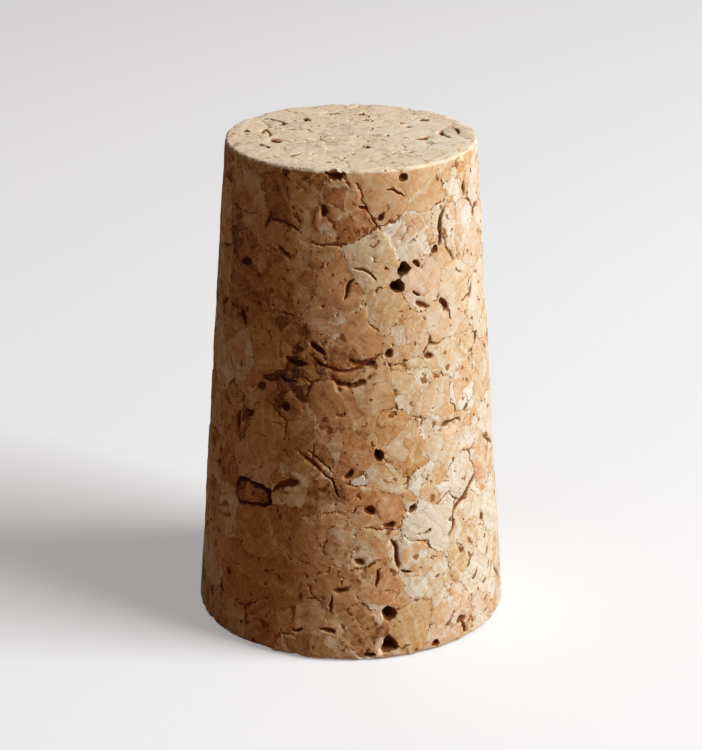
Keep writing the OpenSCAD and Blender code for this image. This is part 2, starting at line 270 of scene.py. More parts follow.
class Packing:
    """The granules of one stopper: the place of the middle of each."""

    def __init__(self, blank, granules):
        self.blank = blank
        self.g = granules

    def side_radius(self, z):
        b = self.blank
        return (b.large_end + (b.small_end - b.large_end) * z / b.length) / 2

    def on_side(self, bearing, z):
        b = self.blank
        lean = math.degrees(math.atan2((b.large_end - b.small_end) / 2, b.length))
        return place_at(bearing, self.side_radius(z), z, 90 - lean)

    def on_end(self, z, bearing, r):
        return place_at(bearing, r, z, 0 if z > 0 else 180)

    def place_of(self, thing):
        """Where a placed joint, a mark or a tint is. Its along is in millimetres."""
        if thing.small_end:
            return self.on_end(self.blank.length, thing.bearing, thing.along * MM)
        return self.on_side(thing.bearing, thing.along * MM)

    def placed_granules(self, joint):
        """The two granules beside a placed joint and the two past its ends."""
        aside, half = self.g.width / 2, joint.span * MM / 2
        past = half + math.hypot(aside, half)
        middle = self.place_of(joint)
        return [
            middle.beside(at_angle(joint.slope + turn, far))
            for turn, far in ((90, aside), (270, aside), (0, past), (180, past))
        ]

    def ringed_granules(self):
        """The ringed granule and those that stand round it."""
        middle = self.on_side(RINGED_BEARING, RINGED_HEIGHT)
        found = [middle]
        for k in range(1, RINGING_GRANULES + 1):
            turn = k + 0.5 + RINGING_STRAY * stray(self.g.seed, k, Purpose.RINGING_TURN)
            far = 1 + RINGING_STRAY * stray(self.g.seed, k, Purpose.RINGING_FAR)
            right, up = at_angle(360 / RINGING_GRANULES * turn, far)
            found.append(middle.beside((RINGED_WIDTH * right, RINGED_HIGH * up)))
        return found

    def clear_of_placed(self, place):
        """Whether a chance granule stays as far as it must from the placed ones."""
        room = [(place.point - self.on_side(RINGED_BEARING, RINGED_HEIGHT).point).length]
        room += [
            (place.point - self.place_of(joint).point).length - joint.span * MM / 2
            for joint in PLACED_JOINTS
        ]
        return min(room) > self.g.clear * self.g.width

    def packed(self, place, n):
        """None, one or two granules for place n."""
        luck = chance(self.g.seed, n, Purpose.PACKED)
        if luck < self.g.missing:
            return []
        if luck <= 1 - self.g.split:
            return [place]
        turn = 180 * chance(self.g.seed, n, Purpose.PAIR_TURN)
        reach = self.g.pair * self.g.width
        return [place.beside(at_angle(turn, reach)), place.beside(at_angle(turn, -reach))]

    def rows_by_chance(self, first, run, radius_at, place, turned=0):
        """Rows of granules round the axis along a run of the skin, numbered from first."""
        width = self.g.width
        rows = round(run / width)
        found = []
        for row in range(rows):
            along = (row + 0.5) * run / rows
            count = round(2 * math.pi * radius_at(along) / width)
            for c in range(count):
                n = first + ROW * row + c
                turn = self.g.stray * stray(self.g.seed, n, Purpose.TURN)
                off = self.g.stray * width * stray(self.g.seed, n, Purpose.OFF)
                bearing = 360 * (c + turned * (row % 2) + turn) / count
                found += self.packed(place(bearing, along + off), n)
        return found

    def middles(self):
        """Every granule's middle, in millimetres."""
        b = self.blank
        found = [p for joint in PLACED_JOINTS for p in self.placed_granules(joint)]
        found += self.ringed_granules()
        by_chance = self.rows_by_chance(0, b.length, self.side_radius, self.on_side, 0.5)
        ends = ((LARGE_END_FIRST, b.large_end, 0), (SMALL_END_FIRST, b.small_end, b.length))
        for first, end, z in ends:
            # A run of an end starts at the axis, so how far it has come is the radius
            place = partial(self.on_end, z)
            by_chance += self.rows_by_chance(first, end / 2, float, place)
        found += [p for p in by_chance if self.clear_of_placed(p)]
        return np.array([p.point for p in found]) / MM


# ---- Marks and tints at places of their own ----


class Mark(NamedTuple):
    """A drawn-out mark on the skin. Bearing and slope in degrees, lengths in mm."""

    bearing: float
    along: float
    slope: float
    length: float
    width: float
    depth: float
    bend: float = 0.0
    small_end: bool = False


CREVICES = (
    # Nicks in the rim of the small end, and under it
    (-8, 49.5, 0, 1.6, 0.9, 0.6),
    (24, 48.9, 20, 1, 0.7, 0.5),
    (6, 46.2, -20, 1, 0.4, 0.3),
    (13, 45.4, 70, 0.7, 0.5, 0.4),
    (19, 47.6, -25, 2, 0.3, 0.25),
    # Upper part
    (-29, 44.3, -14, 3.4, 0.4, 0.25, 0.1),
    (-9, 42.8, -6, 3.6, 0.3, 0.2, -0.2),
    (58, 35.6, 12, 2.2, 0.3, 0.2),
    (38, 41.4, 60, 1.1, 0.5, 0.4),
    (29, 40.3, -40, 1, 0.55, 0.4),
    (45, 34.6, -75, 1.2, 0.3, 0.3),
    (27, 37.6, -35, 1.2, 0.3, 0.3),
    (-0.5, 38.4, 68, 2.2, 0.35, 0.25, 0.1),
    (5, 39.8, -35, 2.8, 0.35, 0.2, 0.35),
    (-3, 32, 0, 7.2, 0.5, 0.22, -1.7),
    (-26, 28.9, -10, 2, 0.4, 0.3),
    (8, 30.9, 20, 0.8, 0.65, 0.4),
    # Middle
    (-28.5, 17.8, 36, 2.8, 0.5, 0.3),
    (-44.5, 24.5, 50, 1.1, 0.6, 0.35),
    (43.5, 23.2, -8, 2.8, 0.35, 0.3, 0.7),
    (-12, 20.9, -41, 3.8, 0.25, 0.25, 0.2),
    (-9, 19.3, -38, 2, 0.35, 0.25),
    (-6, 18.4, -60, 2.2, 0.3, 0.3),
    # Lower part
    (21, 9.2, -20, 1.1, 0.4, 0.35),
    (42, 12.7, 60, 1.4, 0.35, 0.3),
    (30, 12.9, 15, 1.1, 0.4, 0.3),
    (-7, 6.2, 80, 1.9, 0.4, 0.3),
    (10, 8.8, 85, 1.9, 0.35, 0.3),
    (-20, 3, 12, 1.6, 0.4, 0.3),
    (-9, 3.3, -10, 1.8, 0.5, 0.3),
    (7, 0.7, 5, 1.2, 0.6, 0.5),
    (33, 0.6, 0, 0.8, 0.6, 0.5),
    (46.5, 1.5, -60, 1.8, 0.4, 0.3),
    # The sawn small end
    (-66, 9.2, 5, 1.8, 0.4, 0.3, 0, True),
    (100, 10.4, -8, 3, 0.3, 0.3, -0.3, True),
    (-14, 9.8, 15, 1.1, 0.35, 0.25, 0, True),
)


# Pale places where a chip has been torn out a short time ago, and one painted highlight
TORN = (
    (10, 4.9, 105, 2.2, 1, 0.3),
    (10.5, 1.5, 85, 2, 0.9, 0.3),
    (26, 39, 100, 1.4, 0.8, 0.3),
    # A painted highlight on the crack here, not torn cork
    (43.5, 22.8, 0, 1.6, 0.8, 0.3),
)


class Tint(NamedTuple):
    """The granule at a place: how pale, how ruddy and how whole it is, from 0 to 1."""

    bearing: float
    along: float
    pale: float
    ruddy: float
    whole: float = 0.0
    small_end: bool = False


TINTS = (
    # Below the small end
    (-46, 43, 0.16, 0.5),
    (-32, 45.5, 0.12, 0.4),
    (-18, 41.5, 0.38, 0),
    (-10, 46.5, 0.25, 0.8),
    (3, 46.5, 0.38, 0.9),
    (8, 43, 0.7, 0, 0.8),
    (18, 46.5, 0.56, 0.9),
    (26, 43, 0.78, 0.9),
    # The shoulder
    (-48, 38, 0.14, 0.6),
    (-32, 37.5, 0.1, 0.5),
    (-20, 36.5, 0.25, 0.8),
    (-8, 37, 0.42, 0.9, 0.8),
    (1, 34.5, 0.4, 1, 1),
    (9, 34, 0.42, 1, 1),
    (17, 36, 0.6, 0.2, 0.8),
    (31, 37.5, 0.76, 0.8),
    (-52, 33.5, 0.08, 0.5),
    (-38, 31.5, 0.38, 0.1),
    (-22, 28.7, 0.14, 0.5),
    # The middle
    (-46, 26, 0.45, 0.2),
    (-10, 25.5, 0.36, 0.8, 0.8),
    (2, 27.5, 0.46, 0.5),
    (22, 28, 0.66, 0.1),
    (-34, 23, 0.42, 0, 0.7),
    (-20, 22, 0.28, 0.1),
    (4, 20, 0.36, 1, 0.6),
    (-43, 20, 0.58, 1, 0.6),
    # Round the ringed granule and beside it
    (-41, 16.1, 0.0, 0.7),
    (-20, 15.5, 0.24, 0.9, 0.8),
    (-24, 11, 0.28, 1, 1),
    (33, 15, 1.0, 0.2, 1),
    (25, 17, 0.85, 0.2),
    (12, 18.5, 0.62, 0.1),
    # The foot
    (-46, 11.5, 0.34, 0.1, 0.6),
    (-40, 6.5, 0.22, 1, 0.8),
    (-28, 5, 0.24, 1, 0.8),
    (-12, 8, 0.3, 0.7),
    (-6, 2.5, 0.42, 0.1),
    (22, 6, 0.56, 0, 0.6),
    # The palest flank, the side of the key lamp: painted light makes these granules pale and even
    (54, 28, 0.86, 0.4),
    (50, 18, 0.92, 0.4, 0.8),
    (46, 12, 0.92, 0.3),
    (56, 7, 0.95, 0.3, 0.8),
    (40, 8.5, 0.88, 0.2),
    (65, 43, 0.8, 0.4),
    (66, 33.5, 0.86, 0.3),
    (66, 22, 0.92, 0.4, 0.8),
    (64, 14, 0.95, 0.3),
    # The small end
    (96, 10, 0.1, 0.6, 0, True),
    (-60, 9, 0.45, 0.8, 0, True),
)


MARKS_ON_SIDE, MARKS_ON_END = 40, 10
# For marks by chance: the least, how much more, and the power of the chance
MARK_SPREADS = {
    "bearing": (66, 228, 1),
    "along": (1, 48, 1),
    "slope": (0, 180, 1),
    "length": (0.7, 2.4, 2.5),
    "width": (0.25, 0.35, 1.5),
    "depth": (0.2, 0.2, 1),
    "bend": (-0.3, 0.6, 1),
}
END_MARK_SPREADS = MARK_SPREADS | {"along": (0, 11.5, 0.5)}


def by_chance_elsewhere(seed):
    """Marks for the rest of the skin."""
    found = []
    for n in range(MARKS_ON_SIDE + MARKS_ON_END):
        on_end = n >= MARKS_ON_SIDE
        spreads = END_MARK_SPREADS if on_end else MARK_SPREADS
        drawn = {
            name: low + more * chance(seed, MARKS_FIRST + n, k) ** power
            for k, (name, (low, more, power)) in enumerate(spreads.items())
        }
        found.append(Mark(**drawn, small_end=on_end))
    return found


def mark_depths(points, packing, marks):
    """How deep the marks go under each point, all in millimetres."""
    deepest = np.zeros(len(points))
    for mark in marks:
        place = packing.place_of(mark)
        reach = points - np.array(place.point) / MM
        close = np.flatnonzero((reach**2).sum(1) < (mark.length / 2 + mark.width) ** 2 + 1)
        right, up = (reach[close] @ np.array(way) for way in (place.across, place.along))
        turn = math.radians(mark.slope)
        run = (right * math.cos(turn) + up * math.sin(turn)) / (mark.length / 2)
        aside = up * math.cos(turn) - right * math.sin(turn) - mark.bend * (1 - run**2)
        half = mark.width / 2 * np.sqrt(np.clip(1 - run**2, 1e-6, 1))
        round_bottom = np.sqrt(np.clip(1 - (aside / half) ** 2, 0, 1))
        here = mark.depth * round_bottom * (np.abs(run) < 1)
        deepest[close] = np.maximum(deepest[close], here)
    return deepest


def nearest_granules(points, middles):
    """For each point, the numbers of its nearest granules."""
    found = np.empty((len(points), NEAREST), np.int32)
    block = 20000
    weight = (middles**2).sum(1)
    for start in range(0, len(points), block):
        gap = weight - 2 * points[start : start + block] @ middles.T
        found[start : start + block] = np.argpartition(gap, NEAREST, axis=1)[:, :NEAREST]
    return found


# How pale granules are in front, and how much less they differ at the right, where the paler,
# evener granules are painted light of the key lamp
PALE_IN_FRONT, EVENER_IN_PAINTED_LIGHT = 0.39, 0.7


def granule_tints(middles, packing, granules):
    """How pale, ruddy and whole each granule is. Placed tints take the nearest."""
    purposes = (Purpose.PALE, Purpose.RUDDY)
    count = len(middles)
    luck = np.array([[chance(granules.seed, n, p) for p in purposes] for n in range(count)])
    # Painted light: toward the right, the key lamp's side, granules are made paler and more alike
    right = (middles[:, 0] / np.hypot(middles[:, 0], middles[:, 1]).clip(1)).clip(0)
    variety = granules.variety * (1 - right * EVENER_IN_PAINTED_LIGHT)
    pale = PALE_IN_FRONT + granules.drift * right + variety * (luck[:, 0] - 0.5)
    tints = np.stack([pale.clip(0, 1), luck[:, 1], np.zeros(count)], axis=1)
    for tint in starmap(Tint, TINTS):
        middle = np.array(packing.place_of(tint).point) / MM
        nearest = ((middles - middle) ** 2).sum(1).argmin()
        tints[nearest] = (tint.pale, tint.ruddy, tint.whole)
    return tints


# ---- Node trees written as formulas ----


class Value:
    """An output of a node. Arithmetic with it adds the nodes that work it out."""

    def __init__(self, tree, socket):
        self.tree = tree
        self.socket = socket

    @property
    def is_vector(self):
        return self.socket.type in {"VECTOR", "RGBA"}

    def other(self, output):
        """Another output of the same node."""
        return Value(self.tree, self.socket.node.outputs[output])

    def math(self, operation, *others):
        return put(self.tree, "ShaderNodeMath", (self, *others), operation=operation)

    def vector(self, operation, *others, output="Vector"):
        others = [(o,) * 3 if isinstance(o, (int, float)) else o for o in others]
        inputs = (self, *others)
        return put(self.tree, "ShaderNodeVectorMath", inputs, output, operation=operation)

    def _with(self, operation, other):
        vectors = self.is_vector or (isinstance(other, Value) and other.is_vector)
        return self.vector(operation, other) if vectors else self.math(operation, other)

    __add__ = __radd__ = partialmethod(_with, "ADD")
    __sub__ = partialmethod(_with, "SUBTRACT")
    __mul__ = __rmul__ = partialmethod(_with, "MULTIPLY")
    __truediv__ = partialmethod(_with, "DIVIDE")

    def __rsub__(self, other):
        return self * -1 + other

    def __pow__(self, power):
        return self.math("POWER", power)

    def dot(self, other):
        return self.vector("DOT_PRODUCT", other, output="Value")

    def length(self):
        return self.vector("LENGTH", output="Value")

    def unit(self):
        return self.vector("NORMALIZE")

    def parts(self):
        """The x, y and z of a vector."""
        x = put(self.tree, "ShaderNodeSeparateXYZ", (self,))
        return x, x.other("Y"), x.other("Z")

    def between(self, low, high, at_low=0.0, at_high=1.0):
        """Smoothly from at_low to at_high as the value goes from low to high."""
        inputs = (self, low, high, at_low, at_high)
        return put(self.tree, "ShaderNodeMapRange", inputs, interpolation_type="SMOOTHSTEP")


def put(tree, kind, inputs=(), output=0, **settings):
    """Adds a node and gives one of its outputs. Inputs go by number, or by name."""
    node = tree.nodes.new(kind)
    for name, value in settings.items():
        setattr(node, name, value)
    named = inputs.items() if isinstance(inputs, dict) else enumerate(inputs)
    for key, value in named:
        if isinstance(value, Value):
            tree.links.new(value.socket, node.inputs[key])
        else:
            node.inputs[key].default_value = value
    return Value(tree, node.outputs[output]) if len(node.outputs) else None


def least(*values):
    return reduce(lambda a, b: a.math("MINIMUM", b), values)


def most(*values):
    return reduce(lambda a, b: a.math("MAXIMUM", b), values)


class Clouds(NamedTuple):
    """A cloudy pattern: clouds to a millimetre, how broken up, and how to grade it."""

    scale: float
    detail: float = 2.0
    rough: float = 0.5
    levels: tuple = (0.0, 1.0)


def noise(place, clouds):
    """A cloudy level about a half. Its Color output is three such levels."""
    values = (clouds.scale, clouds.detail, clouds.rough)
    inputs = dict(zip(("Scale", "Detail", "Roughness"), values), Vector=place)
    return put(place.tree, "ShaderNodeTexNoise", inputs)


def graded(place, clouds):
    """A cloudy level, graded by the levels of its clouds."""
    return noise(place, clouds).between(*clouds.levels)


def cells(place, scale, feature="F1"):
    """The distance to the middle of a cell, or to its edge. Color is the cell's luck."""
    inputs = {"Vector": place, "Scale": scale}
    return put(place.tree, "ShaderNodeTexVoronoi", inputs, feature=feature)


def luck_of(middle, purpose):
    """Three chance numbers from 0 to 1 for one granule and purpose."""
    return put(middle.tree, "ShaderNodeTexWhiteNoise", (middle + 7.3 * purpose,), "Color")


def arrange(tree):
    """Sets the nodes out in columns, each to the right of all that it reads."""
    column, rows, waiting = {}, Counter(), list(tree.nodes)
    while waiting:
        node = waiting.pop(0)
        before = [link.from_node for socket in node.inputs for link in socket.links]
        if all(b in column for b in before):
            x = column[node] = 1 + max((column[b] for b in before), default=-1)
            rows[x] += 1
            node.location = (220 * x, -260 * rows[x])
        else:
            waiting.append(node)


# ---- The rule of the granules, for shape and colour alike ----

BENDING, BENT_BY = Clouds(0.45), 1.4
WANDERING, WANDERED_BY = Clouds(1.9, 1.0), 0.6
GAPING = Clouds(0.3, 1.0, levels=(0.54, 0.7))
STREAKS = Clouds(1.25, 1.5, levels=(0.68, 0.74))
# How much each is drawn out along the granule, from 0 to 1
SLIVER_DRAWN, STREAK_DRAWN, FLECK_DRAWN, FIBRE_DRAWN = 0.62, 0.84, 0.55, 0.8
# Slivers and pores to a millimetre, and a distance in millimetres that rules a joint out
SLIVERS, PORES, FAR = 0.72, 0.62, 1000.0


def bent(place):
    """A place in millimetres, moved a little, so that no granule has straight sides."""
    return place + (noise(place, BENDING).other("Color") - 0.5) * BENT_BY


def wandered(place):
    """A bent place, moved a little more, so that the joints are uneven."""
    return bent(place) + (noise(place, WANDERING).other("Color") - 0.5) * WANDERED_BY


class Grain:
    """The granule, or the sliver of a crumbled granule, that a place belongs to."""

    def __init__(self, here, middles, crumbled_share):
        self.here = here
        steps = [here - m for m in middles]
        gaps = [step.dot(step) for step in steps]
        near = least(*gaps)
        self.shares = [1 - gap.math("GREATER_THAN", near) for gap in gaps]
        self.middle = self.pick(middles)
        joints = [
            (gap - near) / ((m - self.middle).length() * 2 + 1e-3) + share * FAR
            for gap, m, share in zip(gaps, middles, self.shares)
        ]
        luck = luck_of(self.middle, 0)
        self.luck = luck_of(self.middle, 1)
        self.lie = (luck - 0.5).unit()
        self.crumbled = self.luck.parts()[0].math("LESS_THAN", crumbled_share)
        self.run = here.dot(self.lie)
        pressed = self.drawn(SLIVER_DRAWN)
        self.sliver_luck = cells(pressed, SLIVERS).other("Color")
        sliver_edge = cells(pressed, SLIVERS, "DISTANCE_TO_EDGE") / SLIVERS
        whole = 1 - self.crumbled
        self.granule_joint = least(*joints)
        self.joint = least(self.granule_joint, sliver_edge + whole * FAR)

    def pick(self, values):
        """Of one value for each nearby granule, the one for this granule."""
        return reduce(add, [v * share for v, share in zip(values, self.shares)])

    def drawn(self, share):
        """A place for patterns that are drawn out along the granule."""
        return self.here - self.lie * self.run * share

    def gape(self, width):
        """From 0 to 1 where a joint stands open. It does so only in places."""
        return self.granule_joint.between(width * graded(self.here, GAPING) + 0.01, 0.0)

    def streak(self):
        """From 0 to 1 in the dark pores that are drawn out along the granule."""
        return graded(self.drawn(STREAK_DRAWN) + self.luck * 20, STREAKS)

    def flecks(self, scale, purpose):
        """From 0 to 1 in small chips, drawn out along the granule."""
        chip = cells(self.drawn(FLECK_DRAWN) + 31.0 * purpose, scale)
        size = chip.other("Color").parts()[purpose] ** 7 * 0.42
        return (chip / scale).between(size, size * 0.6)

    def pore(self):
        """From 0 to 1 in the small round pores."""
        pore = cells(self.here, PORES)
        size = pore.other("Color").parts()[1] ** 5 * 0.3 + 0.04
        return (pore / PORES).between(size, size * 0.45)


# ---- The blank, and its skin ----

# Kinds of the trees' inputs that aren't lengths or shares
SOCKET_KINDS = {"Packed solid": "Object", "Columns": "Int", "Rows": "Int"}
SOCKET_KINDS |= {kind: kind for kind in ("Geometry", "Material")}


def new_tree(name, labels):
    """A geometry tree with named inputs. Gives the tree and its inputs as values."""
    tree = bpy.data.node_groups.new(name, "GeometryNodeTree")
    tree.is_modifier = True
    for name in labels:
        kind = "NodeSocket" + SOCKET_KINDS.get(name, "Float")
        tree.interface.new_socket(name, in_out="INPUT", socket_type=kind)
    tree.interface.new_socket("Geometry", in_out="OUTPUT", socket_type="NodeSocketGeometry")
    entry = tree.nodes.new("NodeGroupInput")
    return tree, {name: Value(tree, entry.outputs[name]) for name in labels}


def end_tree(geometry, material):
    """Ends a tree in Realize Instances and Set Material."""
    tree = geometry.tree
    plain = put(tree, "GeometryNodeRealizeInstances", (geometry,))
    clad = put(tree, "GeometryNodeSetMaterial", {"Geometry": plain, "Material": material})
    put(tree, "NodeGroupOutput", (clad,))
    arrange(tree)
    return tree


def attribute(tree, name, data_type="FLOAT_VECTOR"):
    return put(tree, "GeometryNodeInputNamedAttribute", (name,), data_type=data_type)


def store(geometry, name, value, data_type="FLOAT_VECTOR"):
    inputs = {"Geometry": geometry, "Name": name, "Value": value}
    kind = "GeometryNodeStoreNamedAttribute"
    return put(geometry.tree, kind, inputs, data_type=data_type, domain="POINT")


def point_at(tree, x=0.0, y=0.0, z=0.0):
    return put(tree, "ShaderNodeCombineXYZ", (x, y, z))


def blank_tree():
    """The turned blank: a profile with worn corners, turned about the axis."""
    lengths = ("Large end", "Small end", "Length", "Large edge", "Small edge")
    tree, size = new_tree("Turned blank", ("Geometry", *lengths, "Columns", "Rows", "Material"))
    length = size["Length"]
    corners = {
        "Point 1": point_at(tree),
        "Point 2": point_at(tree, size["Large end"] * 0.5),
        "Point 3": point_at(tree, size["Small end"] * 0.5, 0.0, length),
        "Point 4": point_at(tree, 0.0, 0.0, length),
    }
    outline = put(tree, "GeometryNodeCurvePrimitiveQuadrilateral", corners, mode="POINTS")
    corner = put(tree, "GeometryNodeInputIndex")
    is_large = corner.math("COMPARE", 1.0, 0.5)
    is_small = corner.math("COMPARE", 2.0, 0.5)
    radius = is_large * size["Large edge"] + is_small * size["Small edge"]
    rounding = {"Curve": outline, "Count": 6, "Radius": radius}
    worn = put(tree, "GeometryNodeFilletCurve", rounding, mode="POLY")
    points = {"Vertices X": size["Columns"] + 1, "Vertices Y": size["Rows"] + 1}
    turned = put(tree, "GeometryNodeMeshGrid", {"Size X": 1.0, "Size Y": 1.0} | points)
    across, up, _ = put(tree, "GeometryNodeInputPosition").parts()
    # The last side of the outline is the axis itself, which the skin leaves out
    skin_length = put(tree, "GeometryNodeCurveLength", (worn,)) - length
    along = {"Curves": worn, "Length": (up + 0.5) * skin_length}
    profile = put(tree, "GeometryNodeSampleCurve", along, "Position", mode="LENGTH")
    out, _, height = profile.parts()
    run_out, _, run_up = profile.other("Tangent").parts()
    turn = across * math.tau
    sine, cosine = turn.math("SINE"), turn.math("COSINE")
    # The seam is at the back
    place = point_at(tree, out * sine, out * cosine * -1, height)
    outward = point_at(tree, run_up * sine, run_up * cosine * -1, run_out * -1)
    held = store(turned, "outward", outward)
    held = store(held, "bent", bent(place / MM))
    held = store(held, "wandered", wandered(place / MM))
    shaped = put(tree, "GeometryNodeSetPosition", {"Geometry": held, "Position": place})
    closed = put(tree, "GeometryNodeMergeByDistance", {"Geometry": shaped, "Distance": 1e-7})
    return end_tree(closed, size["Material"])


# The rules of the skin, with lengths in millimetres
RAY_START, RAY_LENGTH = 1, 6
SHALLOWEST_PIT = 0.04
RUBBLE = Clouds(1.6, levels=(0.3, 0.7, 0.72, 1.0))
UNEVEN = Clouds(1.1, 3.0, levels=(0.25, 0.75))
RIM_WORN = Clouds(0.5, 3.0, levels=(0.42, 0.7))
# Where the skin leans over to an end, from none to whole, and how much is sawn away there
END_LEAN, END_SAWN = (0.9, 0.99), 0.6
# How far from the rim its wear starts and is whole
RIM_REACH = (1.1, 0.2)
# The most that is cut at the rim, and how much more a millimetre away
RIM_CUT, RIM_CUT_SLOPE = 0.3, 0.9


def skin_tree():
    """The granulated skin: how far each point of the blank goes down."""
    cuts = ("Joint width", "Joint depth", "Step", "Streak depth", "Pore depth", "Grain", "Rim wear")
    lengths = (*cuts, "Large end", "Small end", "Length")
    labels = ("Geometry", "Packed solid", *lengths, "Tilt", "Crumbled", "Material")
    tree, given = new_tree("Granulated skin", labels)
    mm = {name: given[name] / MM for name in lengths}
    outward = attribute(tree, "outward")
    here = attribute(tree, "wandered")
    grain = Grain(here, [attribute(tree, n) for n in GRANULE_NAMES], given["Crumbled"])
    place = put(tree, "GeometryNodeInputPosition") / MM

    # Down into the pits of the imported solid
    solid_input = {"Object": given["Packed solid"]}
    ray = {
        "Target Geometry": put(tree, "GeometryNodeObjectInfo", solid_input, "Geometry"),
        "Source Position": (attribute(tree, "bent") + outward * RAY_START) * MM,
        "Ray Direction": outward * -1,
        "Ray Length": RAY_LENGTH * MM,
    }
    hit = put(tree, "GeometryNodeRaycast", ray)
    drop = (place - hit.other("Hit Position") / MM).dot(outward) * hit
    sharp = {"Value": most(drop - SHALLOWEST_PIT, 0.0), "Iterations": 1}
    pit = put(tree, "GeometryNodeBlurAttribute", sharp) * graded(here, RUBBLE)
    hollowed = most(pit, attribute(tree, "crevice", "FLOAT"))
    held = store(given["Geometry"], "hollowed", hollowed, "FLOAT")

    # Joints, pores and marks, fewer of them on the ends
    on_end = outward.parts()[2].math("ABSOLUTE").between(*END_LEAN)
    kept = 1 - on_end * END_SAWN
    cut = most(
        attribute(tree, "hollowed", "FLOAT"),
        grain.gape(mm["Joint width"]) * mm["Joint depth"] * kept,
        grain.streak() * mm["Streak depth"] * kept,
        grain.pore() * mm["Pore depth"] * kept,
    )

    # Each granule stands and slopes a little differently
    set_back = grain.luck.parts()[1]
    slope = (grain.lie * given["Tilt"]).dot(here - grain.middle)
    sliver = grain.sliver_luck.parts()[2] * grain.crumbled
    lower = (set_back + sliver) * mm["Step"] * 0.5 + slope.math("ABSOLUTE")
    rough = graded(here, UNEVEN) * mm["Grain"]

    # The rims are worn, and nothing cuts deep right beside them
    x, y, z = place.parts()
    flat = point_at(tree, point_at(tree, x, y).length(), 0.0, z)
    large_rim = point_at(tree, mm["Large end"] * 0.5)
    small_rim = point_at(tree, mm["Small end"] * 0.5, 0.0, mm["Length"])
    from_rim = least((flat - large_rim).length(), (flat - small_rim).length())
    wear = graded(here, RIM_WORN) * mm["Rim wear"] * from_rim.between(*RIM_REACH)
    down = least(cut + lower + rough + wear, from_rim * RIM_CUT_SLOPE + RIM_CUT)
    moved = {"Geometry": held, "Offset": outward * down * -MM}
    return end_tree(put(tree, "GeometryNodeSetPosition", moved), given["Material"])


def added(name, data):
    """A new object in the scene."""
    thing = bpy.data.objects.new(name, data)
    bpy.context.scene.collection.objects.link(thing)
    return thing


def modified(mesh, name, kind, settings, inputs=None):
    """The plain mesh that one modifier makes from a mesh."""
    carrier = added(name, mesh)
    modifier = carrier.modifiers.new(name, kind)
    for key, value in settings.items():
        setattr(modifier, key, value)
    for key, value in (inputs or {}).items():
        modifier[key] = value
    depsgraph = bpy.context.evaluated_depsgraph_get()
    made = bpy.data.meshes.new_from_object(
        carrier.evaluated_get(depsgraph), preserve_all_data_layers=True, depsgraph=depsgraph
    )
    bpy.data.objects.remove(carrier)
    made.name = name
    return made


def shaped_by(tree, mesh, values):
    """The plain mesh that a geometry tree makes from a mesh, its inputs set by name."""
    inputs = {
        socket.identifier: values[socket.name]
        for socket in tree.interface.items_tree
        if socket.in_out == "INPUT" and socket.name in values
    }
    return modified(mesh, tree.name, "NODES", {"node_group": tree}, inputs)


def thinned(mesh, triangles):
    """The mesh with no more than so many triangles, most of them at the relief."""
    mesh.calc_loop_triangles()
    ratio = min(1.0, triangles / len(mesh.loop_triangles))
    settings = {"ratio": ratio, "use_collapse_triangulate": True}
    return modified(mesh, PIECE, "DECIMATE", settings)


def read(mesh, name):
    """A mesh's vector attribute as rows of numbers."""
    data = mesh.attributes[name].data
    values = np.empty(len(data) * 3, np.float32)
    data.foreach_get("vector", values)
    return values.reshape(-1, 3).astype(float)


def write(mesh, name, values, kind, domain):
    """Stores rows of numbers as a mesh's attribute."""
    field = {"FLOAT": "value", "FLOAT_VECTOR": "vector", "FLOAT_COLOR": "color"}[kind]
    held = mesh.attributes.new(name, kind, domain)
    held.data.foreach_set(field, np.ascontiguousarray(values, np.float32).ravel())


def write_nearest(mesh, points, middles, domain):
    """Stores the middles of the nearest granules of each point, and gives their numbers."""
    near = nearest_granules(points, middles)
    for k, name in enumerate(GRANULE_NAMES):
        write(mesh, name, middles[near[:, k]], "FLOAT_VECTOR", domain)
    return near


def check_closed(mesh):
    """Raises an error unless every edge has a face on each side."""
    edges = np.empty(len(mesh.loops), np.int32)
    mesh.loops.foreach_get("edge_index", edges)
    if (np.bincount(edges, minlength=len(mesh.edges)) != 2).any():
        raise RuntimeError("an edge of the skin has no pair of faces")


# ---- The cork ----

# Corners that turn by more than this are shaded as edges
SHARP_FROM = math.radians(38)


